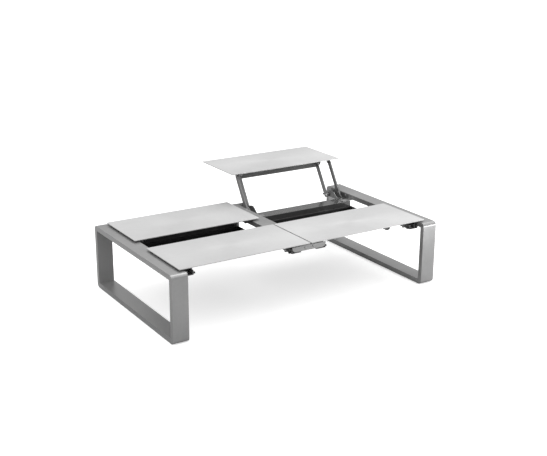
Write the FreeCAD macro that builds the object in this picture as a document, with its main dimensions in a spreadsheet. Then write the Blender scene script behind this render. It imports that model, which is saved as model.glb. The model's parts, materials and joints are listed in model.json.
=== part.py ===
# Low table with two band-steel leg frames, a centre beam and four aluminium top plates.
# Each plate swings up and outwards on a pair of parallelogram arms; one is modelled raised.
# Millimetres. +X runs along the table, +Y to its back, +Z up. Pieces are drawn from the middle
# of the rectangle that the two leg frames cover, and each finished piece is then moved forward so
# that the origin is on the floor under the middle of the whole table, raised plate included.
import FreeCAD, Part
import os
import re

import Sketcher

doc = FreeCAD.newDocument("lift_top_table")
sheet = doc.addObject("Spreadsheet::Sheet", "Sizes")

sizes = {
    # leg frames and beam
    "overall_length": 1500,  # over the outer faces of the two leg frames
    "overall_depth": 850,  # front to back of a leg frame
    "frame_height": 330,  # floor to the top of a leg frame
    "band_width": 81,  # the leg band, measured along X
    "band_thick": 25,
    "corner_radius": 20,  # outside corners of a leg frame
    "inside_radius": 2,
    "edge_round": 1.5,
    "beam_width": 88,
    "beam_tail": 0.5,  # beam past the base brackets
    "cover_width": 190,  # hull-shaped cover on each end of the beam
    "cover_height": 25,
    "cover_radius": 20,
    "cover_drop": 2,  # beam's top to a cover's top edge
    "glide_height": 2,
    "glide_radius": 14,
    "glide_stub": 10,
    "glide_inset": 40,  # glide centre from a leg frame's end
    # top plates
    "plate_length": 693,
    "plate_depth": 333,
    "plate_thick": 4,
    "plate_corner": 3,
    "plate_gap": 7,  # between the left and right plates
    "centre_gap": 126,  # between the front and back plates
    "rest_gap": 8,  # leg frame's top to a closed plate's underside
    "pad_radius": 9,
    "pad_inset": 40,  # pad centre from a plate's front or back edge
    "pad_lap": 14,  # pad centre in from the edge of the bar that it rests on
    "seat_clearance": 0.3,
    # troughs
    "trough_half": 175,  # half the width over the trough's walls
    "trough_depth": 62,
    "trough_flange": 75,
    "trough_radius": 22,
    "trough_end": 17,  # trough's end to the leg frame or the beam
    "rim_drop": 27,  # trough's flange down to the liner's rim
    "cap_half": 183,  # hull-shaped cap at the leg frame's end, half its width
    "cap_drop": 80,  # trough's flange down to that cap's bottom
    "cap_radius": 38,
    "cap_thick": 2,
    "sheet_thick": 3,
    "liner_thick": 2,
    "liner_clearance": 0.3,
    "liner_corner": 19,
    # lift mechanism
    "swing": 121.5,  # degrees from closed to raised
    "arm_span": 188,  # between the two pivots of an arm
    "arm_thick": 9,
    "arm_width": 21,
    "arm_rounding": 11,  # corners of the inner arms' bar
    "crank": 14,  # inner arms' bar above their pivots when closed
    "pivot_inset": 44,  # outer top pivot in from the plate's inner edge
    "pivot_back": 40,  # inner pivots further out than the outer ones
    "pivot_drop": 18,  # outer pivots under a closed plate
    "boss_radius": 10.5,
    "heel_half": 14,  # widened foot of an outer arm, half its width
    "heel_reach": 34,
    "heel_rounding": 6,
    "arm_overhang": 12,  # inner arm past its top pivot
    "crossbar_past": 8,  # crossbar's near edge past the inner arms' top pivot
    "crossbar_deep": 24,
    "crossbar_thick": 10,
    "pin_radius": 4,
    "pin_head": 6.5,
    "head_thick": 3.1,
    "running_clearance": 0.05,
    "open_clearance": 0.3,  # radial play in the outer arms' top hole
    "side_clearance": 0.3,
    "washer_thick": 1,
    "washer_radius": 7.5,
    "arm_standoff": 7,  # outer arm's near face from the leg frame or the beam
    "carrier_width": 52,
    "carrier_start": 215,  # inner end of a base bracket, from the table's middle
    "carrier_wall": 31,
    "carrier_lip": 8,  # height of a base bracket's ears at their inner end
    "ear_spare": 2,  # from the inner arms' bar down to the ears' low outer end
    "wall_bolt_inset": 24,  # from a base bracket's ends to its side bolts
    "foot_spare": 6,  # a plate bracket's foot past its ears
    "foot_screw_inset": 12,
    "ear_lean": 14,  # how far a hanging ear widens towards its bracket's middle
    "ear_flare": 6,  # and the other way
    "stop_along": 14,
    "stud_radius": 5,
    # fasteners
    "tie_thick": 3,
    "tie_width": 32,
    "tie_inner": 180,
    "tie_reach": 60,
    "tie_bolt_inset": 20,  # bolt centre from a tie plate's end
    "thread_spare": 2,  # bolt past its nut
    "blind_spare": 1,  # left at the bottom of a blind hole
    "bolt_radius": 3,
    "bolt_head": 5.5,
    "bolt_cap": 2.6,
    "bolt_depth": 12,
    "nut_radius": 5.5,
    "nut_thick": 4,
    "screw_radius": 2,
    "screw_head": 4,
    "screw_cap": 1.8,
}
for row, (alias, size) in enumerate(sizes.items(), start=1):
    sheet.set(f"A{row}", alias.replace("_", " "))
    sheet.set(f"B{row}", str(size))
    sheet.setAlias(f"B{row}", alias)

# Places that several pieces share, worked out from the sizes above.
places = {
    "half_length": "overall_length / 2",
    "half_depth": "overall_depth / 2",
    "leg_inner": "half_length - band_width",
    "beam_side": "beam_width / 2",
    "bay_mid": "(leg_inner + beam_side) / 2",
    "half_bay": "(leg_inner - beam_side) / 2",
    "bar_bottom": "frame_height - band_thick",
    "bar_mid": "frame_height - band_thick / 2",
    "flange_top": "bar_bottom - tie_thick",
    "flange_bottom": "flange_top - sheet_thick",
    "flange_edge": "trough_half + trough_flange",
    "trough_bottom": "flange_top - trough_depth",
    "trough_reach": "half_bay - trough_end",
    "liner_half": "trough_half - sheet_thick - liner_clearance",
    "liner_bottom": "trough_bottom + sheet_thick + liner_clearance",
    "rim_height": "flange_top - rim_drop",
    "carrier_floor": "flange_bottom - sheet_thick",
    "plate_under": "frame_height + rest_gap",
    "plate_inner": "centre_gap / 2",
    "outer_pivot_y": "plate_inner + pivot_inset + arm_span",
    "outer_pivot_z": "plate_under - pivot_drop",
    "inner_pivot_y": "outer_pivot_y + pivot_back",
    "inner_pivot_z": "outer_pivot_z - crank",
    "raise_y": "arm_span * (1 - cos(swing * 1deg))",
    "raise_z": "arm_span * sin(swing * 1deg)",
    "washer_gap": "washer_thick + 2 * side_clearance",
    "outer_arm_x": "half_bay - arm_standoff - arm_thick",
    "outer_ear_x": "outer_arm_x - washer_gap - sheet_thick",
    "inner_ear_x": "half_bay - carrier_width",
    "inner_arm_x": "inner_ear_x - washer_gap - arm_thick",
    "stop_out": "crank + arm_width / 2 + stud_radius + side_clearance",
    "stop_y": "inner_pivot_y - stop_along * cos(swing * 1deg) + stop_out * sin(swing * 1deg)",
    "stop_z": "inner_pivot_z + stop_along * sin(swing * 1deg) + stop_out * cos(swing * 1deg)",
    "carrier_end": "stop_y + boss_radius",
    "beam_reach": "carrier_end + beam_tail",
    "tie_mid": "tie_inner + tie_width / 2",
    "bolt_out": "tie_reach - tie_bolt_inset",
    "blind_bolt": "bolt_depth - blind_spare",
    "foot_bolt_y": "(carrier_start + flange_edge) / 2",
    "foot_bolt_x": "(inner_ear_x + outer_ear_x + sheet_thick) / 2",
    "ear_start": "flange_edge + liner_clearance",
    "cover_top": "frame_height - cover_drop",
    "bar_low": "crank - arm_width / 2",
    "bar_high": "crank + arm_width / 2",
    "arm_tip": "arm_span + arm_overhang",
    "top_outer_y": "plate_inner + pivot_inset",
    "top_inner_y": "plate_inner + pivot_inset + pivot_back",
    "foot_low": "plate_inner + pivot_inset - boss_radius - foot_spare",
    "foot_high": "plate_inner + pivot_inset + pivot_back + boss_radius + foot_spare",
    "foot_under": "plate_under - sheet_thick",
    "foot_mid": "(inner_ear_x + outer_ear_x + sheet_thick) / 2",
    "plate_low_x": "plate_gap / 2",
    "raised_back": "plate_inner + plate_depth + raise_y",
    "whole_middle": "(raised_back - half_depth) / 2",
}


def bound(text):
    # Writes the shared places out in full and points every size at its cell in the sheet.
    def place_or_word(found):
        return f"({places[found[0]]})" if found[0] in places else found[0]

    def cell_or_word(found):
        return f"Sizes.{found[0]}" if found[0] in sizes else found[0]

    text = str(text)
    while any(word in places for word in re.findall(r"[a-z_]+", text)):
        text = re.sub(r"[a-z_]+", place_or_word, text)
    return re.sub(r"[a-z_]+", cell_or_word, text)


def value(text):
    found = sheet.evalExpression(bound(text))
    return float(getattr(found, "Value", found))


def place(item, x=0, y=0, z=0, rotation=None):
    if rotation:
        item.Placement.Rotation = rotation
    for letter, text in zip("xyz", (x, y, z)):
        item.setExpression(f"Placement.Base.{letter}", bound(text))
    return item


doc.recompute()

# Basic shapes. Every length, place and sketch corner is bound to the sheet.

turns = {
    "x": FreeCAD.Rotation(FreeCAD.Vector(0, 1, 0), 90),
    "y": FreeCAD.Rotation(FreeCAD.Vector(1, 0, 0), -90),
    "z": FreeCAD.Rotation(),
}
half_turn = FreeCAD.Rotation(FreeCAD.Vector(0, 0, 1), 180)
parallel_error = 1e-6
corner_error = 1e-3


def rod(name, axis, radius, length, x, y, z):
    # A round bar from x, y, z along an axis.
    item = doc.addObject("Part::Cylinder", name)
    item.setExpression("Radius", bound(radius))
    item.setExpression("Height", bound(length))
    return place(item, x, y, z, turns[axis])


def tube(name, axis, radius, bore, length, x, y, z):
    item = doc.addObject("Part::Cut", name)
    item.Base = rod(f"{name}_outside", axis, radius, length, x, y, z)
    item.Tool = rod(f"{name}_bore", axis, bore, length, x, y, z)
    return item


def block(name, low, high):
    # A box between two corners.
    item = doc.addObject("Part::Box", name)
    for side, start, end in zip(("Length", "Width", "Height"), low, high):
        item.setExpression(side, bound(f"({end}) - ({start})"))
    return place(item, *low)


def group(name, items):
    item = doc.addObject("Part::Compound", name)
    item.Links = items
    return item


def fused(name, items):
    item = doc.addObject("Part::MultiFuse", name)
    item.Shapes = items
    item.Refine = True
    return item


def drilled(name, base, tools):
    item = doc.addObject("Part::Cut", name)
    item.Base = base
    item.Tool = group(f"{name}_drillings", tools)
    return item


def mirrored(name, source):
    item = doc.addObject("Part::Mirroring", name)
    item.Source = source
    item.Normal = FreeCAD.Vector(1, 0, 0)
    return item


def both_sides(name, source):
    # A piece and its mirror image in the other half of the bay.
    return group(name, [source, mirrored(f"{name}_mirror", source)])


def new_body(name):
    return doc.addObject("PartDesign::Body", name)


def pad(body, plane, outlines, start, depth):
    # Closed outlines on one of the body's own planes, padded from start along the plane's normal.
    sketch = body.newObject("Sketcher::SketchObject", f"{body.Name}_sketch{len(body.Group)}")
    datum = [axis for axis in body.Origin.OriginFeatures if axis.Role == plane][0]
    sketch.AttachmentSupport = [(datum, "")]
    sketch.MapMode = "FlatFace"
    sketch.setExpression("AttachmentOffset.Base.z", bound(start))
    for points in outlines:
        first = sketch.GeometryCount
        ends = points[1:] + points[:1]
        for tail, head in zip(points, ends):
            corner_a = FreeCAD.Vector(value(tail[0]), value(tail[1]), 0)
            corner_b = FreeCAD.Vector(value(head[0]), value(head[1]), 0)
            sketch.addGeometry(Part.LineSegment(corner_a, corner_b))
        for index, point in enumerate(points):
            line = first + index
            before = first + (index - 1) % len(points)
            sketch.addConstraint(Sketcher.Constraint("Coincident", before, 2, line, 1))
            for kind, text in zip(("DistanceX", "DistanceY"), point):
                number = sketch.addConstraint(Sketcher.Constraint(kind, line, 1, value(text)))
                sketch.setExpression(f"Constraints[{number}]", bound(text))
    feature = body.newObject("PartDesign::Pad", f"{body.Name}_pad{len(body.Group)}")
    feature.Profile = sketch
    feature.setExpression("Length", bound(depth))
    doc.recompute()
    return feature


def rounded(body, direction, corners, radius):
    # Fillets the straight edges that run along a direction through the given corners.
    base = body.Tip
    names = []
    for number, edge in enumerate(base.Shape.Edges, start=1):
        along = edge.tangentAt(edge.FirstParameter)
        if abs(abs(along["xyz".index(direction)]) - 1) > parallel_error:
            continue
        middle = edge.CenterOfMass
        here = [middle[index] for index in range(3) if "xyz"[index] != direction]
        if any(max(abs(here[0] - value(a)), abs(here[1] - value(b))) < corner_error for a, b in corners):
            names.append(f"Edge{number}")
    feature = body.newObject("PartDesign::Fillet", f"{body.Name}_fillet{len(body.Group)}")
    feature.Base = (base, names)
    feature.setExpression("Radius", bound(radius))
    doc.recompute()
    return feature


def rectangle(low_a, low_b, high_a, high_b):
    return [(low_a, low_b), (high_a, low_b), (high_a, high_b), (low_a, high_b)]


def slab(name, plane, outline, start, depth, direction=None, corners=(), radius=None):
    body = new_body(name)
    pad(body, plane, [outline], start, depth)
    if direction:
        rounded(body, direction, corners, radius)
    return body


parts = {}


def part(label, item):
    # Records a finished piece under the name of its file, moved to the table's own origin.
    item.Label = f"{label}_as_drawn"
    whole = place(group(f"{label}_whole", [item]), y="-(whole_middle)")
    whole.Label = label
    parts[label] = whole
    return item


# Bolts through the base brackets' side walls, as places along Y at the bars' middle height.
wall_bolts = ("carrier_start + wall_bolt_inset", "carrier_end - wall_bolt_inset")
# Signs for a piece and its opposite, along X or along Y.
both_signs = ("1", "-1")


def bolt(name, axis, sign, x, y, z, under):
    # Head and shank of one bolt; the head's underside is at x, y, z and the shank runs from it.
    turn = {"x": (sign, 0, 0), "y": (0, sign, 0), "z": (0, 0, sign)}[axis]
    spot = (x, y, z)
    pieces = []
    stages = (("head", "bolt_head", "bolt_cap", -1), ("shank", "bolt_radius", under, 1))
    for kind, radius, length, side in stages:
        start = []
        for place_text, step in zip(spot, turn):
            back = f" - ({length})" if step * side < 0 else ""
            start.append(f"({place_text}){back}")
        pieces.append(rod(f"{name}_{kind}", axis, radius, length, *start))
    return fused(name, pieces)


# Leg frames: a closed loop of flat band, the right one drawn and the left one turned round.
leg_body = new_body("leg_loop")
leg_outside = rectangle("-half_depth", "glide_height", "half_depth", "frame_height")
leg_inside = rectangle(
    "-half_depth + band_thick",
    "glide_height + band_thick",
    "half_depth - band_thick",
    "bar_bottom",
)
pad(leg_body, "YZ_Plane", [leg_outside, leg_inside], "leg_inner", "band_width")
rounded(leg_body, "x", leg_outside, "corner_radius")
rounded(leg_body, "x", leg_inside, "inside_radius")

leg_drillings = []
for number, (side, along) in enumerate((s, a) for s in both_signs for a in wall_bolts):
    leg_drillings.append(
        rod(
            f"leg_wall_hole{number}", "x", "bolt_radius", "bolt_depth",
            "leg_inner", f"{side} * ({along})", "bar_mid",
        )
    )
for number, side in enumerate(both_signs):
    leg_drillings.append(
        rod(
            f"leg_tie_hole{number}", "z", "bolt_radius", "bolt_depth",
            "leg_inner + bolt_out", f"{side} * (tie_mid)", "bar_bottom",
        )
    )
    leg_drillings.append(
        rod(
            f"leg_glide_hole{number}", "z", "pin_radius", "glide_stub",
            "half_length - band_width / 2", f"{side} * (half_depth - glide_inset)", "glide_height",
        )
    )
right_leg = part("right_leg_frame", drilled("right_leg", leg_body, leg_drillings))
left_leg = part("left_leg_frame", group("left_leg", [right_leg]))
place(left_leg, rotation=half_turn)

glides = []
for number, (end, side) in enumerate((e, s) for e in both_signs for s in both_signs):
    glide_x = f"{end} * (half_length - band_width / 2)"
    glide_y = f"{side} * (half_depth - glide_inset)"
    glides.append(
        fused(
            f"glide{number}",
            [
                rod(f"glide{number}_disc", "z", "glide_radius", "glide_height", glide_x, glide_y, "0"),
                rod(f"glide{number}_stub", "z", "pin_radius", "glide_stub", glide_x, glide_y, "glide_height"),
            ],
        )
    )
part("floor_glides", group("glide_set", glides))

# Centre beam, with a hull-shaped cover on each end.
beam_outline = rectangle("-beam_side", "bar_bottom", "beam_side", "frame_height")
beam_body = slab(
    "beam_bar", "XZ_Plane", beam_outline, "-(beam_reach)", "2 * (beam_reach)",
    "y", beam_outline, "edge_round",
)
beam_drillings = []
for number, (end, side, along) in enumerate(
    (e, s, a) for e in both_signs for s in both_signs for a in wall_bolts
):
    start = "beam_side - bolt_depth" if end == "1" else "-(beam_side)"
    beam_drillings.append(
        rod(
            f"beam_wall_hole{number}", "x", "bolt_radius", "bolt_depth",
            start, f"{side} * ({along})", "bar_mid",
        )
    )
for number, (end, side) in enumerate((e, s) for e in both_signs for s in both_signs):
    beam_drillings.append(
        rod(
            f"beam_tie_hole{number}", "z", "bolt_radius", "bolt_depth",
            f"{end} * (beam_side / 2)", f"{side} * (tie_mid)", "bar_bottom",
        )
    )
    start = "beam_reach - bolt_depth" if side == "1" else "-(beam_reach)"
    beam_drillings.append(
        rod(
            f"beam_end_hole{number}", "y", "bolt_radius", "bolt_depth",
            f"{end} * (beam_side / 2)", start, "bar_mid",
        )
    )
part("centre_beam", drilled("beam", beam_body, beam_drillings))

cover_outline = rectangle("-cover_width / 2", "cover_top - cover_height", "cover_width / 2", "cover_top")
covers = []
for side in both_signs:
    start = "-(beam_reach + sheet_thick)" if side == "1" else "beam_reach"
    word = "back" if side == "1" else "front"
    cover = slab(
        f"{word}_cover", "XZ_Plane", cover_outline, start, "sheet_thick",
        "y", cover_outline[:2], "cover_radius",
    )
    hole_start = "beam_reach" if side == "1" else "-(beam_reach + sheet_thick)"
    holes = [
        rod(
            f"{word}_cover_hole{number}", "y", "bolt_radius", "sheet_thick",
            f"{end} * (beam_side / 2)", hole_start, "bar_mid",
        )
        for number, end in enumerate(both_signs)
    ]
    covers.append(drilled(f"{word}_cover_plate", cover, holes))
part("beam_end_covers", group("cover_set", covers))

# Troughs bent from sheet, their liners and their end caps, drawn in a bay centred on the origin.
trough_outline = [
    ("-(flange_edge)", "flange_bottom"),
    ("-trough_half", "flange_bottom"),
    ("-trough_half", "trough_bottom"),
    ("trough_half", "trough_bottom"),
    ("trough_half", "flange_bottom"),
    ("flange_edge", "flange_bottom"),
    ("flange_edge", "flange_top"),
    ("trough_half - sheet_thick", "flange_top"),
    ("trough_half - sheet_thick", "trough_bottom + sheet_thick"),
    ("-trough_half + sheet_thick", "trough_bottom + sheet_thick"),
    ("-trough_half + sheet_thick", "flange_top"),
    ("-(flange_edge)", "flange_top"),
]
trough_body = new_body("trough_sheet")
pad(trough_body, "YZ_Plane", [trough_outline], "-(trough_reach)", "2 * (trough_reach)")
rounded(trough_body, "x", trough_outline[2:4], "trough_radius")
rounded(trough_body, "x", trough_outline[8:10], "trough_radius - sheet_thick")
trough_holes = []
for number, (end, side) in enumerate((e, s) for e in both_signs for s in both_signs):
    for kind, along, across in (
        ("tie", "half_bay - bolt_out", "tie_mid"),
        ("foot", "foot_bolt_x", "foot_bolt_y"),
    ):
        trough_holes.append(
            rod(
                f"trough_{kind}_hole{number}", "z", "bolt_radius", "sheet_thick",
                f"{end} * ({along})", f"{side} * ({across})", "flange_bottom",
            )
        )
trough = drilled("trough", trough_body, trough_holes)

liner_reach = "trough_reach - liner_clearance"
liner_outline = rectangle("-(liner_half)", "liner_bottom", "liner_half", "rim_height")
liner_body = slab(
    "liner_outside", "YZ_Plane", liner_outline, f"-({liner_reach})", f"2 * ({liner_reach})",
    "x", liner_outline[:2], "liner_corner",
)
hollow_reach = f"{liner_reach} - liner_thick"
hollow_outline = rectangle(
    "-(liner_half) + liner_thick",
    "liner_bottom + liner_thick",
    "liner_half - liner_thick",
    "rim_height + liner_thick",
)
hollow_body = slab(
    "liner_hollow", "YZ_Plane", hollow_outline, f"-({hollow_reach})", f"2 * ({hollow_reach})",
    "x", hollow_outline[:2], "liner_corner - liner_thick",
)
liner = doc.addObject("Part::Cut", "liner")
liner.Base = liner_body
liner.Tool = hollow_body

cap_outline = rectangle("-cap_half", "flange_top - cap_drop", "cap_half", "rim_height")
cap_body = slab(
    "end_cap", "YZ_Plane", cap_outline, "trough_reach", "cap_thick",
    "x", cap_outline[:2], "cap_radius",
)
beam_cap_outline = rectangle("-trough_half", "trough_bottom", "trough_half", "rim_height")
beam_cap_body = slab(
    "beam_cap", "YZ_Plane", beam_cap_outline, "-(trough_reach + cap_thick)", "cap_thick",
    "x", beam_cap_outline[:2], "trough_radius",
)
cap_pair = group("cap_pair", [cap_body, beam_cap_body])

for kind, right_one, left_one in (
    ("trough", trough, trough),
    ("trough_liner", liner, liner),
    ("trough_end_caps", cap_pair, mirrored("cap_pair_mirror", cap_pair)),
):
    for word, middle, source in (("right", "bay_mid", right_one), ("left", "-(bay_mid)", left_one)):
        place(part(f"{word}_{kind}", group(f"{word}_{kind}_copy", [source])), middle)

# Tie plates that carry the troughs between the leg frames and the beam.
leg_ties = []
beam_ties = []
for number, side in enumerate(both_signs):
    low_y = f"{side} * (tie_mid) - tie_width / 2"
    high_y = f"{side} * (tie_mid) + tie_width / 2"
    for end, word in (("1", "right"), ("-1", "left")):
        low_x = "leg_inner - tie_reach"
        high_x = "leg_inner + tie_reach"
        if end == "-1":
            low_x, high_x = (f"-({high_x})", f"-({low_x})")
        plate = block(f"{word}_tie{number}", (low_x, low_y, "flange_top"), (high_x, high_y, "bar_bottom"))
        holes = [
            rod(
                f"{word}_tie{number}_hole{index}", "z", "bolt_radius", "tie_thick",
                f"{end} * (leg_inner {step} bolt_out)", f"{side} * (tie_mid)", "flange_top",
            )
            for index, step in enumerate("+-")
        ]
        leg_ties.append(drilled(f"{word}_tie_plate{number}", plate, holes))
    plate = block(
        f"beam_tie{number}",
        ("-(beam_side + tie_reach)", low_y, "flange_top"),
        ("beam_side + tie_reach", high_y, "bar_bottom"),
    )
    spots = ("beam_side / 2", "-(beam_side / 2)", "beam_side + bolt_out", "-(beam_side + bolt_out)")
    holes = [
        rod(
            f"beam_tie{number}_hole{index}", "z", "bolt_radius", "tie_thick",
            x, f"{side} * (tie_mid)", "flange_top",
        )
        for index, x in enumerate(spots)
    ]
    beam_ties.append(drilled(f"beam_tie_plate{number}", plate, holes))
part("leg_tie_plates", group("leg_tie_set", leg_ties))
part("beam_tie_plates", group("beam_tie_set", beam_ties))

# Base brackets, one pair in each quarter. Their ears start past the trough's flange.
ear_outline = [
    ("ear_start", "carrier_floor"),
    ("carrier_end", "carrier_floor"),
    ("carrier_end", "inner_pivot_z + crank - ear_spare"),
    ("inner_pivot_y + boss_radius", "inner_pivot_z + crank - ear_spare"),
    ("outer_pivot_y + boss_radius", "outer_pivot_z + boss_radius"),
    ("outer_pivot_y - boss_radius", "outer_pivot_z + boss_radius"),
    ("ear_start", "carrier_floor + carrier_lip"),
]
wall_outline = rectangle("carrier_start", "carrier_floor", "carrier_end", "carrier_floor + carrier_wall")
carrier_floor_outline = rectangle("half_bay - carrier_width", "carrier_start", "half_bay", "carrier_end")
carrier_body = new_body("carrier")
pad(carrier_body, "XY_Plane", [carrier_floor_outline], "carrier_floor", "sheet_thick")
pad(carrier_body, "YZ_Plane", [wall_outline], "half_bay - sheet_thick", "sheet_thick")
pad(carrier_body, "YZ_Plane", [ear_outline], "outer_ear_x", "sheet_thick")
pad(carrier_body, "YZ_Plane", [ear_outline], "inner_ear_x", "sheet_thick")
carrier_holes = [
    rod(f"carrier_{kind}_hole", axis, radius, "sheet_thick", x, y, z)
    for kind, axis, radius, x, y, z in (
        ("outer", "x", "pin_radius", "outer_ear_x", "outer_pivot_y", "outer_pivot_z"),
        ("inner", "x", "pin_radius", "inner_ear_x", "inner_pivot_y", "inner_pivot_z"),
        ("stud", "x", "bolt_radius", "inner_ear_x", "stop_y", "stop_z"),
        ("foot", "z", "bolt_radius", "foot_bolt_x", "foot_bolt_y", "carrier_floor"),
        ("low_wall", "x", "bolt_radius", "half_bay - sheet_thick", wall_bolts[0], "bar_mid"),
        ("high_wall", "x", "bolt_radius", "half_bay - sheet_thick", wall_bolts[1], "bar_mid"),
    )
]
carrier = drilled("base_bracket", carrier_body, carrier_holes)
carrier_pair = both_sides("base_bracket_pair", carrier)


def pivot_pin(name, arm_x, ear_x, y, z, head_side):
    # Pin riveted into an ear, through an arm, with its head past the arm.
    if head_side > 0:
        head_x = "half_bay - arm_standoff + side_clearance"
        shank = (ear_x, f"({head_x}) - ({ear_x})")
    else:
        head_x = f"({arm_x}) - side_clearance - head_thick"
        shank = (f"({arm_x}) - side_clearance", f"({ear_x}) + sheet_thick - ({arm_x}) + side_clearance")
    return fused(
        name,
        [
            rod(f"{name}_head", "x", "pin_head", "head_thick", head_x, y, z),
            rod(f"{name}_shank", "x", "pin_radius", shank[1], shank[0], y, z),
        ],
    )


def pins_and_washers(word, outer_y, outer_z, inner_y, inner_z):
    outer = pivot_pin(f"{word}_outer_pin", "outer_arm_x", "outer_ear_x", outer_y, outer_z, 1)
    inner = pivot_pin(f"{word}_inner_pin", "inner_arm_x", "inner_ear_x", inner_y, inner_z, -1)
    outer_washer = tube(
        f"{word}_outer_washer", "x", "washer_radius", "pin_radius", "washer_thick",
        "outer_ear_x + sheet_thick + side_clearance", outer_y, outer_z,
    )
    inner_washer = tube(
        f"{word}_inner_washer", "x", "washer_radius", "pin_radius", "washer_thick",
        "inner_ear_x - side_clearance - washer_thick", inner_y, inner_z,
    )
    pins = both_sides(f"{word}_pin_pair", group(f"{word}_pins", [outer, inner]))
    washers = both_sides(f"{word}_washer_pair", group(f"{word}_washers", [outer_washer, inner_washer]))
    return pins, washers


base_pins, base_washers = pins_and_washers(
    "base", "outer_pivot_y", "outer_pivot_z", "inner_pivot_y", "inner_pivot_z"
)
top_pins, top_washers = pins_and_washers(
    "top", "top_outer_y", "outer_pivot_z", "top_inner_y", "inner_pivot_z"
)

stud = fused(
    "stop_stud",
    [
        rod(
            "stop_stud_sleeve", "x", "stud_radius", "washer_gap + arm_thick + side_clearance",
            "inner_arm_x - side_clearance", "stop_y", "stop_z",
        ),
        rod("stop_stud_core", "x", "bolt_radius", "sheet_thick", "inner_ear_x", "stop_y", "stop_z"),
    ],
)
stud_pair = both_sides("stop_stud_pair", stud)

# Arms, drawn closed about their own base pivot, with the table's middle towards -Y.
inner_bar = rectangle("-(arm_tip)", "bar_low", "boss_radius", "bar_high")
inner_foot = rectangle("-boss_radius", "0", "boss_radius", "crank")
inner_head = rectangle("-arm_span - boss_radius", "0", "-arm_span + boss_radius", "crank")
inner_body = new_body("inner_arm_plate")
pad(inner_body, "YZ_Plane", [inner_bar], "inner_arm_x", "arm_thick")
rounded(inner_body, "x", [("boss_radius", "bar_high"), ("-(arm_tip)", "bar_high")], "arm_rounding")
pad(inner_body, "YZ_Plane", [inner_foot], "inner_arm_x", "arm_thick")
pad(inner_body, "YZ_Plane", [inner_head], "inner_arm_x", "arm_thick")
inner_blank = fused(
    "inner_arm_blank",
    [
        inner_body,
        rod("inner_foot_boss", "x", "boss_radius", "arm_thick", "inner_arm_x", "0", "0"),
        rod("inner_head_boss", "x", "boss_radius", "arm_thick", "inner_arm_x", "-arm_span", "0"),
    ],
)
arm_hole = "pin_radius + running_clearance"
inner_arm = drilled(
    "inner_arm",
    inner_blank,
    [
        rod("inner_foot_hole", "x", arm_hole, "arm_thick", "inner_arm_x", "0", "0"),
        rod("inner_head_hole", "x", arm_hole, "arm_thick", "inner_arm_x", "-arm_span", "0"),
    ],
)
crossbar = block(
    "crossbar",
    ("-(inner_arm_x)", "-arm_span - crossbar_past", "crank - crossbar_thick / 2"),
    ("inner_arm_x", "-arm_span - crossbar_past + crossbar_deep", "crank + crossbar_thick / 2"),
)
lift_frame = fused("lift_frame", [inner_arm, mirrored("inner_arm_mirror", inner_arm), crossbar])

outer_bar = rectangle("-arm_span", "-arm_width / 2", "0", "arm_width / 2")
outer_heel = rectangle("-heel_reach", "-heel_half", "heel_half", "heel_half")
outer_body = new_body("outer_arm_plate")
pad(outer_body, "YZ_Plane", [outer_heel], "outer_arm_x", "arm_thick")
rounded(outer_body, "x", outer_heel, "heel_rounding")
pad(outer_body, "YZ_Plane", [outer_bar], "outer_arm_x", "arm_thick")
outer_blank = fused(
    "outer_arm_blank",
    [outer_body, rod("outer_head_boss", "x", "boss_radius", "arm_thick", "outer_arm_x", "-arm_span", "0")],
)
outer_arm = drilled(
    "outer_arm",
    outer_blank,
    [
        rod("outer_foot_hole", "x", arm_hole, "arm_thick", "outer_arm_x", "0", "0"),
        rod(
            "outer_head_hole", "x", "pin_radius + open_clearance", "arm_thick",
            "outer_arm_x", "-arm_span", "0",
        ),
    ],
)
outer_pair = both_sides("outer_arm_pair", outer_arm)

# Plate brackets: a foot under the plate, with an ear hanging down to each top pivot.
foot_outline = rectangle("inner_ear_x", "foot_low", "outer_ear_x + sheet_thick", "foot_high")
screw_places = ("foot_low + foot_screw_inset", "foot_high - foot_screw_inset")


def hanging_ear(y, z, inward, outward):
    # Tapered ear from the bracket's foot down to a pivot.
    return [
        (f"{y} - boss_radius", z),
        (f"{y} + boss_radius", z),
        (f"{y} + boss_radius + {outward}", "foot_under"),
        (f"{y} - boss_radius - {inward}", "foot_under"),
    ]


hanger_body = new_body("hanger")
pad(hanger_body, "XY_Plane", [foot_outline], "foot_under", "sheet_thick")
hanger_blanks = [hanger_body]
hanger_holes = []
for kind, x, y, z, inward, outward in (
    ("outer", "outer_ear_x", "top_outer_y", "outer_pivot_z", "ear_flare", "ear_lean"),
    ("inner", "inner_ear_x", "top_inner_y", "inner_pivot_z", "ear_lean", "ear_flare"),
):
    pad(hanger_body, "YZ_Plane", [hanging_ear(y, z, inward, outward)], x, "sheet_thick")
    hanger_blanks.append(rod(f"hanger_{kind}_boss", "x", "boss_radius", "sheet_thick", x, y, z))
    hanger_holes.append(rod(f"hanger_{kind}_hole", "x", "pin_radius", "sheet_thick", x, y, z))
hanger_blank = fused("hanger_blank", hanger_blanks)
for number, y in enumerate(screw_places):
    hanger_holes.append(
        rod(
            f"hanger_screw_hole{number}", "z", "screw_radius", "sheet_thick",
            "foot_mid", y, "foot_under",
        )
    )
hanger_pair = both_sides("hanger_pair", drilled("hanger_plate", hanger_blank, hanger_holes))

screws = []
for number, y in enumerate(screw_places):
    screws.append(
        fused(
            f"plate_screw{number}",
            [
                rod(
                    f"plate_screw{number}_head", "z", "screw_head", "screw_cap",
                    "foot_mid", y, "foot_under - screw_cap",
                ),
                rod(
                    f"plate_screw{number}_shank", "z", "screw_radius",
                    "sheet_thick + plate_thick - blind_spare", "foot_mid", y, "foot_under",
                ),
            ],
        )
    )
screw_pair = both_sides("plate_screw_pair", group("plate_screw_set", screws))

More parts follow.
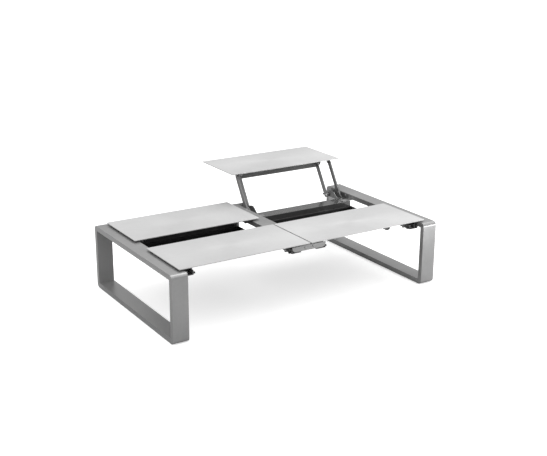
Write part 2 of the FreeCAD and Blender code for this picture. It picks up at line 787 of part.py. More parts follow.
# Top plate and rest pads, drawn closed in the right back quarter of the table.
plate_outline = rectangle(
    "plate_low_x", "plate_inner", "plate_low_x + plate_length", "plate_inner + plate_depth"
)
plate_body = slab(
    "plate_sheet", "XY_Plane", plate_outline, "plate_under", "plate_thick",
    "z", plate_outline, "plate_corner",
)
plate_drillings = []
for number, (y, side) in enumerate((y, side) for y in screw_places for side in both_signs):
    plate_drillings.append(
        rod(
            f"plate_screw_hole{number}", "z", "screw_radius", "plate_thick - blind_spare",
            f"bay_mid + {side} * (foot_mid)", y, "plate_under",
        )
    )
plate = drilled("plate", plate_body, plate_drillings)

pads = []
for x_number, x in enumerate(("leg_inner + pad_lap", "beam_side - pad_lap")):
    for y_number, y in enumerate(("plate_inner + pad_inset", "plate_inner + plate_depth - pad_inset")):
        pads.append(
            rod(
                f"pad{x_number}{y_number}", "z", "pad_radius", "rest_gap - seat_clearance",
                x, y, "frame_height + seat_clearance",
            )
        )
pad_set = group("pad_set", pads)

# The four quarters: name, whether it is on the left, whether at the front, whether it is raised.
fastener_copies = {"base_pins": [], "base_washers": [], "stop_studs": []}
quarters = (
    ("back_right", False, False, True),
    ("back_left", True, False, False),
    ("front_right", False, True, False),
    ("front_left", True, True, False),
)


def copy_of(label, source, x, y, z, rotation=None):
    return part(label, place(group(f"{label}_copy", [source]), x, y, z, rotation))


for quarter, left, front, raised in quarters:
    turn = half_turn if front else None
    middle = "-(bay_mid)" if left else "bay_mid"
    lift_y = "raise_y" if raised else "0"
    lift_z = "raise_z" if raised else "0"
    copy_of(f"{quarter}_base_brackets", carrier_pair, middle, "0", "0", turn)
    for kind, source in (("base_pins", base_pins), ("base_washers", base_washers), ("stop_studs", stud_pair)):
        fastener_copies[kind].append(place(group(f"{quarter}_{kind}", [source]), middle, "0", "0", turn))
    for kind, source in (
        ("plate_brackets", hanger_pair),
        ("top_pins", top_pins),
        ("top_washers", top_washers),
        ("plate_screws", screw_pair),
    ):
        copy_of(f"{quarter}_{kind}", source, middle, lift_y, lift_z, turn)
    for kind, source in (("top_plate", plate), ("rest_pads", pad_set)):
        # The plate isn't centred on its bay; a front one is also turned round.
        item = source
        if left != front:
            item = mirrored(f"{quarter}_{kind}_mirror", source)
        copy_of(f"{quarter}_{kind}", item, "0", lift_y, lift_z, turn)
    for kind, source, y, z in (
        ("lift_frame", lift_frame, "inner_pivot_y", "inner_pivot_z"),
        ("outer_arms", outer_pair, "outer_pivot_y", "outer_pivot_z"),
    ):
        base_y = f"-({y})" if front else y
        item = copy_of(f"{quarter}_{kind}", source, middle, base_y, z, turn)
        if raised:
            item.Placement.Rotation = FreeCAD.Rotation(FreeCAD.Vector(-1, 0, 0), value("swing"))
            item.setExpression("Placement.Rotation.Angle", bound("swing * 1deg"))
for kind, copies in fastener_copies.items():
    part(kind, group(f"{kind}_set", copies))

# Bolts and nuts, sorted into those of the base brackets and those of the ties, feet and covers.
side_bolts = []
tie_bolts = []
nuts = []
sheets_bolted = "tie_thick + sheet_thick"
for side_word, side in (("back", "1"), ("front", "-1")):
    for end_word, end in (("right", 1), ("left", -1)):
        tag = f"{side_word}_{end_word}"
        for number, along in enumerate(wall_bolts):
            y = f"{side} * ({along})"
            for kind, x, direction in (
                ("leg", "leg_inner - sheet_thick", end),
                ("beam", "beam_side + sheet_thick", -end),
            ):
                side_bolts.append(
                    bolt(
                        f"{tag}_{kind}_bolt{number}", "x", direction, f"{end} * ({x})", y, "bar_mid",
                        "sheet_thick + blind_bolt",
                    )
                )
        for kind, x in (("leg", "leg_inner + bolt_out"), ("beam", "beam_side / 2")):
            tie_bolts.append(
                bolt(
                    f"{tag}_{kind}_tie_bolt", "z", 1, f"{end} * ({x})", f"{side} * (tie_mid)",
                    "flange_top", "tie_thick + blind_bolt",
                )
            )
        for kind, x, y, top, through in (
            ("leg_trough", "leg_inner - bolt_out", "tie_mid", "bar_bottom", sheets_bolted),
            ("beam_trough", "beam_side + bolt_out", "tie_mid", "bar_bottom", sheets_bolted),
            ("leg_foot", "bay_mid + foot_bolt_x", "foot_bolt_y", "flange_top", "2 * sheet_thick"),
            ("beam_foot", "bay_mid - (foot_bolt_x)", "foot_bolt_y", "flange_top", "2 * sheet_thick"),
        ):
            x_text = f"{end} * ({x})"
            y_text = f"{side} * ({y})"
            tie_bolts.append(
                bolt(
                    f"{tag}_{kind}_bolt", "z", -1, x_text, y_text, top,
                    f"{through} + nut_thick + thread_spare",
                )
            )
            nuts.append(
                tube(
                    f"{tag}_{kind}_nut", "z", "nut_radius", "bolt_radius", "nut_thick",
                    x_text, y_text, f"{top} - ({through}) - nut_thick",
                )
            )
    for number, end in enumerate(both_signs):
        direction = -1 if side == "1" else 1
        tie_bolts.append(
            bolt(
                f"{side_word}_cover_bolt{number}", "y", direction, f"{end} * (beam_side / 2)",
                f"{side} * (beam_reach + sheet_thick)", "bar_mid", "sheet_thick + blind_bolt",
            )
        )
part("bracket_bolts", group("side_bolt_set", side_bolts))
part("frame_bolts", group("tie_bolt_set", tie_bolts))
part("frame_nuts", group("nut_set", nuts))

# Every object and every finished shape is checked before any file is written.
doc.recompute()
for item in doc.Objects:
    if "Invalid" in item.State or "Error" in item.State:
        raise RuntimeError(f"{item.Label} failed: {item.State}")
os.makedirs("parts", exist_ok=True)
for label, item in parts.items():
    shape = item.Shape
    if shape.isNull() or not shape.isValid() or not shape.Solids:
        raise RuntimeError(f"{label} has no valid solid")
for label, item in parts.items():
    item.Shape.exportStep(os.path.join("parts", f"{label}.step"))
    box = item.Shape.BoundBox
    corners = (box.XMin, box.YMin, box.ZMin, box.XMax, box.YMax, box.ZMax)
    print(label, len(item.Shape.Solids), [round(place, 1) for place in corners])
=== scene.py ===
import json
import math

import bmesh
import bpy
from mathutils import Matrix, Vector


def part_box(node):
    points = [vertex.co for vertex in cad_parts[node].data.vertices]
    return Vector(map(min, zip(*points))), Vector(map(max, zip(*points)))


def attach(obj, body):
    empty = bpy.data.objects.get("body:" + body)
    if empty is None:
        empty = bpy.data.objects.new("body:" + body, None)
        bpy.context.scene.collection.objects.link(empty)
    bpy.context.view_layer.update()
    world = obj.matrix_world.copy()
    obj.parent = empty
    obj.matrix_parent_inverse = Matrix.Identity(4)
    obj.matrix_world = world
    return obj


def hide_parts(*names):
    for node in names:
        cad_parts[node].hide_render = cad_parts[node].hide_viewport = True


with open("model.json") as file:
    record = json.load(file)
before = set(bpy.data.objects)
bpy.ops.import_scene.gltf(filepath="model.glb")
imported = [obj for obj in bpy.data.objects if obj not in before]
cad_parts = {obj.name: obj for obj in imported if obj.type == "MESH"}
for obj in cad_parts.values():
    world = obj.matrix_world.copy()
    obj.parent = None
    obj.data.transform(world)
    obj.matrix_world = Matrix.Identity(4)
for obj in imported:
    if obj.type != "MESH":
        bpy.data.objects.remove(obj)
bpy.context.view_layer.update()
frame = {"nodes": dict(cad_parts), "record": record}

nodes = frame["nodes"]
bodyNames = frame["record"]["behaviour"]["bodies"]
bodyOf = {node: body for body, names in bodyNames.items() for node in names}
slotOf = {row["node"]: row["material_slot"] for row in frame["record"]["subparts"]}
mm = 0.001
quarters = ("back_right", "back_left", "front_right", "front_left")
print("frame loaded:", len(nodes), "pieces")

# Small helpers for building shader trees.


def newGroup(name, inputs, outputs):
    group = bpy.data.node_groups.new(name, "ShaderNodeTree")
    for label, value in inputs.items():
        socket = group.interface.new_socket(name=label, in_out="INPUT", socket_type="NodeSocketFloat")
        socket.default_value = value
    for label in outputs:
        group.interface.new_socket(name=label, in_out="OUTPUT", socket_type="NodeSocketFloat")
    return group, group.nodes.new("NodeGroupInput"), group.nodes.new("NodeGroupOutput")


def feed(tree, socket, value):
    if isinstance(value, (int, float, tuple)):
        socket.default_value = value
    else:
        tree.links.new(value, socket)


def mathNode(tree, operation, *values):
    node = tree.nodes.new("ShaderNodeMath")
    node.operation = operation
    for index, value in enumerate(values):
        feed(tree, node.inputs[index], value)
    return node.outputs[0]


def noiseNode(tree, vector, scale, detail, rough):
    node = tree.nodes.new("ShaderNodeTexNoise")
    for name, value in (("Vector", vector), ("Scale", scale), ("Detail", detail), ("Roughness", rough)):
        feed(tree, node.inputs[name], value)
    return node.outputs["Fac"]


def stretched(tree, vector, along):
    # a vector with each of its axes scaled on its own
    node = tree.nodes.new("ShaderNodeVectorMath")
    node.operation = "MULTIPLY"
    tree.links.new(vector, node.inputs[0])
    joined = tree.nodes.new("ShaderNodeCombineXYZ")
    for index, value in enumerate(along):
        feed(tree, joined.inputs[index], value)
    tree.links.new(joined.outputs[0], node.inputs[1])
    return node.outputs[0]


def mapRange(tree, value, fromLow, fromHigh, toLow, toHigh):
    node = tree.nodes.new("ShaderNodeMapRange")
    for name, level in (("From Min", fromLow), ("From Max", fromHigh), ("To Min", toLow), ("To Max", toHigh)):
        node.inputs[name].default_value = level
    tree.links.new(value, node.inputs["Value"])
    return node.outputs[0]


def spread(tree, noise):
    # opens up the middle of a noise into a mask from 0 to 1
    return mapRange(tree, noise, 0.35, 0.65, 0.0, 1.0)


def mixColour(tree, factor, first, second):
    node = tree.nodes.new("ShaderNodeMix")
    node.data_type = "RGBA"
    for index, value in ((0, factor), (6, first), (7, second)):
        feed(tree, node.inputs[index], value)
    return node.outputs[2]


def linkColour(tree, shader, factor, first, second):
    tree.links.new(mixColour(tree, factor, first, second), shader.inputs["Base Color"])


def objectPlace(tree):
    return tree.nodes.new("ShaderNodeTexCoord").outputs["Object"]


# Shared finishes, each built once: brushing, lacquer film, and a painted highlight along sharp edges.


def makeBrushGroup():
    group, inside, outside = newGroup(
        "brushedLines",
        {"Line Scale": 900.0, "Line Length": 0.02, "Cloud Scale": 5.0},
        ("Lines", "Streaks", "Clouds"),
    )
    place = objectPlace(group)
    fine = stretched(group, place, (inside.outputs["Line Length"], 1.0, 1.0))
    wide = stretched(group, place, (0.12, 1.0, 1.0))
    streakScale = mathNode(group, "MULTIPLY", inside.outputs["Cloud Scale"], 12.0)
    lines = noiseNode(group, fine, inside.outputs["Line Scale"], 4.0, 0.7)
    streaks = noiseNode(group, wide, streakScale, 3.0, 0.6)
    clouds = noiseNode(group, place, inside.outputs["Cloud Scale"], 4.0, 0.6)
    for name, socket in (("Lines", lines), ("Streaks", streaks), ("Clouds", clouds)):
        group.links.new(socket, outside.inputs[name])
    return group


def makeLacquerGroup():
    group, inside, outside = newGroup(
        "lacquerFilm",
        {"Peel Scale": 700.0, "Flake Scale": 2600.0, "Cloud Scale": 7.0, "Dust Scale": 160.0},
        ("Peel", "Flakes", "Clouds", "Dust"),
    )
    place = objectPlace(group)
    peel = noiseNode(group, place, inside.outputs["Peel Scale"], 2.0, 0.5)
    flakes = noiseNode(group, place, inside.outputs["Flake Scale"], 1.0, 0.5)
    clouds = noiseNode(group, place, inside.outputs["Cloud Scale"], 4.0, 0.6)
    specks = noiseNode(group, place, inside.outputs["Dust Scale"], 5.0, 0.75)
    dust = mapRange(group, mathNode(group, "MULTIPLY", specks, clouds), 0.28, 0.42, 0.0, 1.0)
    for name, socket in (("Peel", peel), ("Flakes", flakes), ("Clouds", clouds), ("Dust", dust)):
        group.links.new(socket, outside.inputs[name])
    return group


def makeEdgeHighlightGroup():
    # painted highlight: brighter along convex edges, from the surface's pointiness, broken into patches
    group, inside, outside = newGroup("paintedEdgeHighlight", {"Highlight Strength": 0.5, "Patch Scale": 60.0}, ("Highlit",))
    pointed = group.nodes.new("ShaderNodeNewGeometry").outputs["Pointiness"]
    edge = mapRange(group, pointed, 0.52, 0.60, 0.0, 1.0)
    patches = noiseNode(group, objectPlace(group), inside.outputs["Patch Scale"], 4.0, 0.65)
    broken = mathNode(group, "MULTIPLY", edge, mapRange(group, patches, 0.35, 0.65, 0.3, 1.0))
    edgeLight = mathNode(group, "MULTIPLY", broken, inside.outputs["Highlight Strength"])
    group.links.new(edgeLight, outside.inputs["Highlit"])
    return group


brushGroup = makeBrushGroup()
lacquerGroup = makeLacquerGroup()
edgeHighlightGroup = makeEdgeHighlightGroup()


def newMaterial(name):
    material = bpy.data.materials.new(name)
    material.use_nodes = True
    tree = material.node_tree
    return material, tree, tree.nodes["Principled BSDF"]


def placeGroup(tree, group, values):
    node = tree.nodes.new("ShaderNodeGroup")
    node.node_tree = group
    for name, value in values.items():
        node.inputs[name].default_value = value
    return node.outputs


def addBump(tree, shader, height, strength, distance):
    bump = tree.nodes.new("ShaderNodeBump")
    bump.inputs["Strength"].default_value = strength
    bump.inputs["Distance"].default_value = distance
    tree.links.new(height, bump.inputs["Height"])
    tree.links.new(bump.outputs[0], shader.inputs["Normal"])


def grey(level, warm=0.0):
    return (level + warm, level, level - warm, 1.0)


brushLook = {"bump": 0.06, "edgeHighlight": 0.2, "anisotropy": 0.35, "edgeHighlightTone": 0.95}


def brushedMetal(name, light, dark, roughness, metallic, lineScale=900.0):
    material, tree, shader = newMaterial(name)
    grain = placeGroup(tree, brushGroup, {"Line Scale": lineScale})
    # painted highlight: sharp convex edges are lightened toward a near-white tone, broken into patches
    edgeLight = placeGroup(tree, edgeHighlightGroup, {"Highlight Strength": brushLook["edgeHighlight"]})["Highlit"]
    tone = mixColour(tree, spread(tree, grain["Clouds"]), dark, light)
    streaked = mixColour(tree, mapRange(tree, grain["Streaks"], 0.4, 0.62, 0.0, 0.2), tone, dark)
    lined = mixColour(tree, mapRange(tree, grain["Lines"], 0.4, 0.7, 0.0, 0.3), streaked, light)
    linkColour(tree, shader, edgeLight, lined, grey(brushLook["edgeHighlightTone"]))
    rough = mapRange(tree, grain["Lines"], 0.3, 0.7, roughness - 0.05, roughness + 0.07)
    tree.links.new(rough, shader.inputs["Roughness"])
    shader.inputs["Metallic"].default_value = metallic
    shader.inputs["Anisotropic"].default_value = brushLook["anisotropy"]
    addBump(tree, shader, grain["Lines"], brushLook["bump"], 0.05 * mm)
    return material


lacquerLook = {"edgeHighlight": 0.25, "flakes": 0.35, "dust": 0.06, "coatRoughness": 0.08}


def lacquer(name, light, dark, roughness, metallic=0.0, coat=0.0, peel=0.05):
    material, tree, shader = newMaterial(name)
    film = placeGroup(tree, lacquerGroup, {})
    # painted highlight: sharp convex edges are lightened toward a paler tone of the paint, broken into
    # patches
    edgeLight = placeGroup(tree, edgeHighlightGroup, {"Highlight Strength": lacquerLook["edgeHighlight"]})["Highlit"]
    tone = mixColour(tree, spread(tree, film["Clouds"]), dark, light)
    flakes = mapRange(tree, film["Flakes"], 0.45, 0.75, 0.0, lacquerLook["flakes"])
    flaked = mixColour(tree, flakes, tone, light)
    dust = mathNode(tree, "MULTIPLY", film["Dust"], lacquerLook["dust"])
    dusty = mixColour(tree, dust, flaked, grey(0.6))
    litEdgeTone = grey(min(0.9, light[1] * 1.8 + 0.03))
    linkColour(tree, shader, edgeLight, dusty, litEdgeTone)
    rough = mapRange(tree, film["Dust"], 0.0, 1.0, roughness - 0.02, roughness + 0.08)
    tree.links.new(rough, shader.inputs["Roughness"])
    shader.inputs["Metallic"].default_value = metallic
    shader.inputs["Coat Weight"].default_value = coat
    shader.inputs["Coat Roughness"].default_value = lacquerLook["coatRoughness"]
    addBump(tree, shader, film["Peel"], peel, 0.1 * mm)
    return material


def moulded(name, light, dark, roughness, grain=0.3):
    # plastic or rubber with a fine eroded grain
    material, tree, shader = newMaterial(name)
    film = placeGroup(tree, lacquerGroup, {"Peel Scale": 1500.0, "Cloud Scale": 14.0})
    tone = mixColour(tree, spread(tree, film["Clouds"]), dark, light)
    linkColour(tree, shader, mathNode(tree, "MULTIPLY", film["Dust"], 0.05), tone, grey(0.5))
    rough = mapRange(tree, film["Peel"], 0.3, 0.7, roughness - 0.06, roughness + 0.06)
    tree.links.new(rough, shader.inputs["Roughness"])
    addBump(tree, shader, film["Peel"], grain, 0.05 * mm)
    return material


finishes = {
    "frame_paint": lacquer("frameLacquer", grey(0.38), grey(0.355), 0.32, metallic=0.45, peel=0.03),
    "cover_paint": lacquer("coverLacquer", grey(0.40), grey(0.36), 0.36, metallic=0.4),
    "plate_brushed": brushedMetal("plateBrushed", grey(0.66), grey(0.61), 0.45, 0.4),
    "trough_gloss": lacquer("troughGloss", grey(0.13), grey(0.11), 0.16, metallic=0.5, coat=0.5, peel=0.02),
    "liner_black": moulded("linerBlack", grey(0.012), grey(0.008), 0.5),
    "bracket_dark": lacquer("bracketDark", grey(0.22), grey(0.18), 0.36, metallic=0.4),
    "arm_grey": lacquer("armGrey", grey(0.25), grey(0.21), 0.34, metallic=0.5),
    "zinc_steel": brushedMetal("zincSteel", grey(0.5), grey(0.42), 0.35, 0.9),
    "pin_steel": brushedMetal("pinSteel", grey(0.85), grey(0.75), 0.22, 1.0, lineScale=2400.0),
    "bolt_steel": brushedMetal("boltSteel", grey(0.45), grey(0.36), 0.35, 0.95, lineScale=2400.0),
    "washer_nylon": moulded("washerNylon", grey(0.6, 0.02), grey(0.52, 0.02), 0.5),
    "glide_nylon": moulded("glideNylon", grey(0.03), grey(0.02), 0.5),
    "stop_rubber": moulded("stopRubber", grey(0.018), grey(0.012), 0.7, grain=0.5),
}
for node, item in nodes.items():
    item.material_slots[0].material = finishes[slotOf[node]]
print("finishes:", len(finishes))

# Pieces of the table.


def addPiece(name, mesh, body, slotName, replaced=(), finish=None):
    piece = bpy.data.objects.new(name, mesh)
    bpy.context.collection.objects.link(piece)
    mesh.materials.clear()
    mesh.materials.append(finish or finishes[slotName])
    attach(piece, body)
    if replaced:
        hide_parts(*replaced)
    return piece


def openMesh(node, flattened=True):
    # a working copy of a node's mesh, with its doubled corners merged and its flat faces whole
    built = bmesh.new()
    built.from_mesh(nodes[node].data)
    bmesh.ops.remove_doubles(built, verts=built.verts, dist=0.01 * mm)
    if flattened:
        flat = math.radians(0.5)
        bmesh.ops.dissolve_limit(built, angle_limit=flat, verts=built.verts, edges=built.edges)
    return built


creaseAngle = 32  # degrees; sharper turns than this are edges to ease


def softenEdges(piece, width, angle=creaseAngle):
    bevel = piece.modifiers.new("softEdges", "BEVEL")
    bevel.width = width
    bevel.segments = 2
    bevel.limit_method = "ANGLE"
    bevel.angle_limit = math.radians(angle)
    bevel.use_clamp_overlap = True
    bevel.harden_normals = True
    bevel.miter_outer = "MITER_ARC"


softened = {  # width of each eased edge, in millimetres
    "left_leg_frame": 1.2,
    "right_leg_frame": 1.2,
    "centre_beam": 1.0,
    "beam_end_covers": 0.6,
    "left_trough": 0.5,
    "right_trough": 0.5,
    "left_trough_end_caps": 0.4,
    "right_trough_end_caps": 0.4,
    "leg_tie_plates": 0.4,
    "beam_tie_plates": 0.4,
}
for quarter in quarters:
    softened[f"{quarter}_top_plate"] = 0.7
    softened[f"{quarter}_lift_frame"] = 1.0
    softened[f"{quarter}_outer_arms"] = 1.0
    softened[f"{quarter}_base_brackets"] = 0.5
    softened[f"{quarter}_plate_brackets"] = 0.5


def makeSoftened(node, width):
    # the same sheet or bar, with its edges eased as a real one's are
    mesh = bpy.data.meshes.new(f"{node}_eased")
    built = openMesh(node)
    for face in built.faces:
        face.smooth = True
    built.to_mesh(mesh)
    built.free()
    mesh.set_sharp_from_angle(angle=math.radians(creaseAngle))
    piece = addPiece(f"{node}_eased", mesh, bodyOf[node], slotOf[node], (node,))
    softenEdges(piece, width * mm)


for node, width in softened.items():
    makeSoftened(node, width)
print("eased pieces:", len(softened))


def islands(node):
    # lowest and highest corner of each separate solid in a node, and all its corners
    built = openMesh(node, flattened=False)
    left = set(built.verts)
    found = []
    while left:
        reach = [left.pop()]
        places = []
        while reach:
            vertex = reach.pop()
            places.append(vertex.co.copy())
            for edge in vertex.link_edges:
                other = edge.other_vert(vertex)
                if other in left:
                    left.remove(other)
                    reach.append(other)
        low = Vector([min(place[axis] for place in places) for axis in range(3)])
        high = Vector([max(place[axis] for place in places) for axis in range(3)])
        found.append((low, high, places))
    built.free()
    return sorted(found, key=lambda item: tuple(round(value, 5) for value in item[0]))


def turned(built, profile, start, direction, sides=32):
    # spins a profile of (distance along, radius) about a line
    turn = Vector((0, 0, 1)).rotation_difference(direction).to_matrix()
    rings = []
    for along, radius in profile:
        ring = []
        for index in range(sides):
            angle = 2 * math.pi * index / sides
            local = Vector((radius * math.cos(angle), radius * math.sin(angle), along))
            ring.append(built.verts.new(start + turn @ local))
        rings.append(ring)
    for near, far in zip(rings, rings[1:]):
        for index in range(sides):
            after = (index + 1) % sides
            face = built.faces.new((near[index], near[after], far[after], far[index]))
            face.smooth = True
    built.faces.new(list(reversed(rings[0])))
    built.faces.new(rings[-1])
    return rings


def headAndShank(places, low, high):
    # where a fastener's head starts, the way it points, both radii, the head's height and the whole length
    size = high - low
    others = [(size[(index + 1) % 3] + size[(index + 2) % 3]) / 2 for index in range(3)]
    axis = max(range(3), key=lambda index: abs(size[index] - others[index]))
    across = [index for index in range(3) if index != axis]
    middle = (low + high) / 2

    def radius(place):
        return math.hypot(place[across[0]] - middle[across[0]], place[across[1]] - middle[across[1]])

    head = max(radius(place) for place in places)
    rim = head * 0.95  # corners further out than this are the head's
    wide = [place[axis] for place in places if radius(place) > rim]
    thin = max(radius(place) for place in places if radius(place) < rim)
    direction = Vector([0, 0, 0])
    headFirst = min(wide) - low[axis] < high[axis] - max(wide)
    direction[axis] = 1 if headFirst else -1
    start = middle.copy()
    start[axis] = low[axis] if headFirst else high[axis]
    return start, direction, head, thin, max(wide) - min(wide), size[axis]


boltLook = {
    "domeRise": 0.3,  # share of a head's height taken by its dome
    "domeSteps": ((0.35, 0.82), (1.0, 0.97), (1.4, 1.0)),  # shares of the dome's rise and the head's radius
    "socketWidth": 0.5,  # share of the head's radius
    "socketMouth": 0.3,  # share of the dome's rise
    "socketDepth": 0.6,  # share of the head's height
    "headEasing": 0.1,
    "tipEasing": 0.4,
    "creaseAngle": 35,
}


def cutSocket(built, rings, start, direction, reach, depths):
    # opens the top of a head and sinks a hexagon into it
    top = next(face for face in rings[0][0].link_faces if len(face.verts) > 4)
    bmesh.ops.delete(built, geom=[top], context="FACES_ONLY")
    turn = Vector((0, 0, 1)).rotation_difference(direction).to_matrix()
    sides = len(rings[0])
    walls = []
    for depth in depths:
        ring = []
        for index in range(sides):
            angle = 2 * math.pi * index / sides
            flat = math.cos(math.pi / 6) / math.cos(angle % (math.pi / 3) - math.pi / 6)
            out = reach * flat
            local = Vector((out * math.cos(angle), out * math.sin(angle), depth))
            ring.append(built.verts.new(start + turn @ local))
        walls.append(ring)
    for near, far in ((rings[0], walls[0]), (walls[0], walls[1])):
        for index in range(sides):
            after = (index + 1) % sides
            built.faces.new((near[after], near[index], far[index], far[after]))
    built.faces.new(list(reversed(walls[1])))


def makeFasteners(node, name, body, slotName, socket):
    # button heads with a hexagon socket, or plain domed pin heads
    mesh = bpy.data.meshes.new(name)
    built = bmesh.new()
    for low, high, places in islands(node):
        start, direction, head, shank, cap, length = headAndShank(places, low, high)
        dome = cap * boltLook["domeRise"]
        hollow = head * boltLook["socketWidth"]
        headEasing = boltLook["headEasing"] * mm
        tipEasing = boltLook["tipEasing"] * mm
        profile = [
            (dome * 0.05, hollow * 1.15),  # just outside the socket's mouth
            *((dome * rise, head * out) for rise, out in boltLook["domeSteps"]),
            (cap - headEasing, head),
            (cap, head - headEasing),
            (cap, shank),
            (length - tipEasing, shank),
            (length, shank - tipEasing),
        ]
        rings = turned(built, profile, start, direction)
        if socket:
            depths = (dome * boltLook["socketMouth"], cap * boltLook["socketDepth"])
            cutSocket(built, rings, start, direction, hollow, depths)
    built.to_mesh(mesh)
    built.free()
    mesh.set_sharp_from_angle(angle=math.radians(boltLook["creaseAngle"]))
    addPiece(name, mesh, body, slotName, (node,))


makeFasteners("bracket_bolts", "bracket_button_bolts", "frame", "bolt_steel", True)
makeFasteners("frame_bolts", "frame_button_bolts", "frame", "bolt_steel", True)
makeFasteners("base_pins", "base_domed_pins", "frame", "pin_steel", False)
for quarter in quarters:
    makeFasteners(f"{quarter}_top_pins", f"{quarter}_domed_pins", f"{quarter}_top", "pin_steel", False)
    makeFasteners(f"{quarter}_plate_screws", f"{quarter}_socket_screws", f"{quarter}_top", "bolt_steel", True)
print("fasteners turned")

weldLook = {
    "bead": 1.5,  # radius
    "ripple": 0.12,  # share of the bead's radius
    "pitch": 2.2,  # between ripples
    "ringsPerRipple": 3,
    "sides": 8,
}


def barEnds(node):
    # the corners of a lift frame's crossbar where it meets its two arms
    built = openMesh(node)
    low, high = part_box(node)
    ends = {-1: [], 1: []}
    middle = (low[0] + high[0]) / 2
    fullLength = 0.8 * (high[0] - low[0])  # only the crossbar's own edges are longer
    for edge in built.edges:
        if edge.calc_length() > fullLength:
            for vertex in edge.verts:
                ends[1 if vertex.co.x > middle else -1].append(vertex.co.copy())
    built.free()
    return ends


def makeWelds(quarter):
    # a rippled bead round each end of the crossbar
    mesh = bpy.data.meshes.new(f"{quarter}_weld_beads")
    built = bmesh.new()
    perRipple = weldLook["ringsPerRipple"]
    for corners in barEnds(f"{quarter}_lift_frame").values():
        middle = sum(corners, Vector()) / len(corners)
        corners.sort(key=lambda corner: math.atan2(corner.z - middle.z, corner.y - middle.y))
        points = []
        for start, end in zip(corners, corners[1:] + corners[:1]):
            steps = max(2, round((end - start).length / (weldLook["pitch"] * mm) * perRipple))
            points += [start.lerp(end, step / steps) for step in range(steps)]
        rings = []
        for index, point in enumerate(points):
            before, after = points[index - 1], points[(index + 1) % len(points)]
            outward = Vector((1, 0, 0)).cross(after - before).normalized()
            if outward.dot(point - middle) < 0:
                outward.negate()
            ripple = weldLook["ripple"] * math.sin(index * 2 * math.pi / perRipple)
            reach = weldLook["bead"] * mm * (1 + ripple)
            ring = []
            for turn in range(weldLook["sides"]):
                angle = 2 * math.pi * turn / weldLook["sides"]
                offset = outward * math.cos(angle) + Vector((math.sin(angle), 0, 0))
                ring.append(built.verts.new(point + offset * reach))
            rings.append(ring)
        for near, far in zip(rings, rings[1:] + rings[:1]):
            for turn in range(len(near)):
                following = (turn + 1) % len(near)
                built.faces.new((near[turn], near[following], far[following], far[turn])).smooth = True
    bmesh.ops.recalc_face_normals(built, faces=built.faces)
    built.to_mesh(mesh)
    built.free()
    addPiece(f"{quarter}_weld_beads", mesh, f"{quarter}_lift", "arm_grey")


for quarter in quarters:
    makeWelds(quarter)
print("crossbars welded")

rimLook = {
    "height": 12.0,
    "thick": 2.2,
    "inset": 2.0,  # the liner's own wall
    "rounding": 0.45,
    "edgeAngle": 20,
}


def makeLinerRims():
    # a rolled rim round the inside of each liner's top edge
    rimFinish = moulded("linerRim", grey(0.045), grey(0.035), 0.35, 0.2)
    for word in ("left", "right"):
        low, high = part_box(f"{word}_trough_liner")
        inset = rimLook["inset"] * mm
        corners = [
            (low[0] + inset, low[1] + inset), (high[0] - inset, low[1] + inset),
            (high[0] - inset, high[1] - inset), (low[0] + inset, high[1] - inset),
        ]
        thick = rimLook["thick"] * mm
        top = high[2]
        bottom = top - rimLook["height"] * mm
        mesh = bpy.data.meshes.new(f"{word}_liner_rim")
        built = bmesh.new()
        loops = []
        section = (
            (0, bottom), (thick, bottom + thick), (thick, top - thick * 0.5), (thick * 0.5, top), (0, top),
        )
        for depth, height in section:
            loop = []
            for index, (x, y) in enumerate(corners):
                inX = depth if index in (0, 3) else -depth
                inY = depth if index in (0, 1) else -depth
                loop.append(built.verts.new((x + inX, y + inY, height)))
            loops.append(loop)
        loops.append(loops[0])
        for near, far in zip(loops, loops[1:]):
            for index in range(4):
                after = (index + 1) % 4
                built.faces.new((near[index], near[after], far[after], far[index]))
        bmesh.ops.recalc_face_normals(built, faces=built.faces)
        built.to_mesh(mesh)
        built.free()
        rim = addPiece(f"{word}_liner_rim", mesh, "frame", "liner_black", (), rimFinish)
        softenEdges(rim, rimLook["rounding"] * mm, rimLook["edgeAngle"])


makeLinerRims()
print("liner rims rolled")

# Studio: a pale floor, an even sky and two soft lights, set out from the middle of the leg frames.
studio = {
    "floorHalf": 60.0,
    "floorTone": 0.92,
    "floorGlow": 0.55,  # lifts the floor so that the shadows stay faint
    "floorBounce": 0.55,  # tone that the table sees
    "skyTop": 1.3,
    "skySide": 0.16,
    "skyFrom": 0.1,  # heights between which the sky brightens, from 0 level to 1 overhead
    "skyTo": 0.85,
    "keyPower": 38.0,
    "fillPower": 21.0,
    "keyPlace": (1.6, 0.2, 3.4),
    "keyAim": (0.2, 0, 0.3),
    "keySize": (2.6, 2.0),
    "fillPlace": (2.1, -2.0, 0.34),  # low, so that the plates don't mirror it
    "fillAim": (0.7, -0.3, 0.2),
    "fillSize": (1.2, 0.6),
}


def makeFloor():
    half = studio["floorHalf"]
    corners = [(-half, -half, 0), (half, -half, 0), (half, half, 0), (-half, half, 0)]
    mesh = bpy.data.meshes.new("floor")
    mesh.from_pydata(corners, [], [(0, 1, 2, 3)])
    floor = bpy.data.objects.new("floor", mesh)
    bpy.context.collection.objects.link(floor)
    material, tree, shader = newMaterial("floorPaper")
    fibres = noiseNode(tree, objectPlace(tree), 40.0, 3.0, 0.6)
    pale = mixColour(tree, fibres, grey(studio["floorTone"] - 0.01), grey(studio["floorTone"]))
    seen = tree.nodes.new("ShaderNodeLightPath").outputs["Is Camera Ray"]
    linkColour(tree, shader, seen, grey(studio["floorBounce"]), pale)
    glow = mixColour(tree, seen, grey(0.0), grey(studio["floorGlow"]))
    tree.links.new(glow, shader.inputs["Emission Color"])
    shader.inputs["Emission Strength"].default_value = 1.0
    shader.inputs["Roughness"].default_value = 0.95
    shader.inputs["Specular IOR Level"].default_value = 0.1
    mesh.materials.append(material)


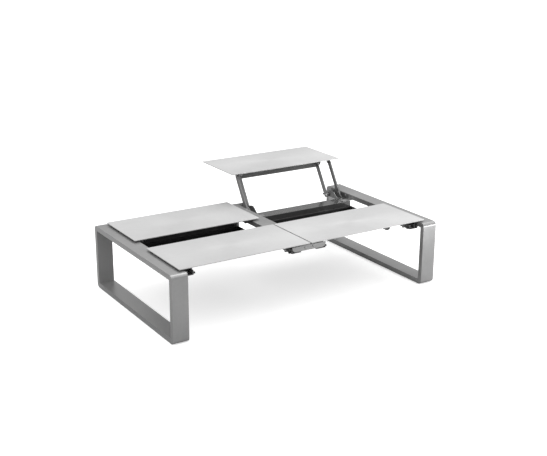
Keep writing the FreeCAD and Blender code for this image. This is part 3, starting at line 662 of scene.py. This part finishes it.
legLow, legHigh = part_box("left_leg_frame")
tableMiddle = Vector((0, (legLow[1] + legHigh[1]) / 2, 0))


def areaLight(name, word):
    place = Vector(studio[f"{word}Place"])
    data = bpy.data.lights.new(name, "AREA")
    data.shape = "RECTANGLE"
    data.size, data.size_y = studio[f"{word}Size"]
    data.energy = studio[f"{word}Power"]
    light = bpy.data.objects.new(name, data)
    light.location = tableMiddle + place
    light.rotation_euler = (Vector(studio[f"{word}Aim"]) - place).to_track_quat("-Z", "Y").to_euler()
    bpy.context.collection.objects.link(light)


def makeSky():
    world = bpy.data.worlds.new("studioAir")
    world.use_nodes = True
    tree = world.node_tree
    background = tree.nodes["Background"]
    direction = tree.nodes.new("ShaderNodeTexCoord").outputs["Generated"]
    split = tree.nodes.new("ShaderNodeSeparateXYZ")
    tree.links.new(direction, split.inputs[0])
    levels = (studio["skyFrom"], studio["skyTo"], studio["skySide"], studio["skyTop"])
    tree.links.new(mapRange(tree, split.outputs["Z"], *levels), background.inputs["Color"])
    bpy.context.scene.world = world


makeFloor()
makeSky()
areaLight("keyLight", "key")
areaLight("frontLight", "fill")
bpy.context.scene.view_settings.view_transform = "Standard"

cameraSetup = {
    "place": (-2.5441, -4.0766, 1.8698),
    "turn": -32.377,  # degrees about Z, from looking along +Y
    "tilt": 71.957,  # degrees up from straight down
    "roll": 0.281,
    "lens": 65.87,
    "sensor": 36.0,
}


def makeCamera():
    data = bpy.data.cameras.new("camera")
    data.lens = cameraSetup["lens"]
    data.sensor_width = cameraSetup["sensor"]
    camera = bpy.data.objects.new("camera", data)
    turn = Matrix.Rotation(math.radians(cameraSetup["turn"]), 4, "Z")
    tilt = Matrix.Rotation(math.radians(cameraSetup["tilt"]), 4, "X")
    roll = Matrix.Rotation(math.radians(cameraSetup["roll"]), 4, "Z")
    place = Matrix.Translation(tableMiddle + Vector(cameraSetup["place"]))
    camera.matrix_world = place @ turn @ tilt @ roll
    bpy.context.collection.objects.link(camera)
    bpy.context.scene.camera = camera


makeCamera()
print("studio ready")
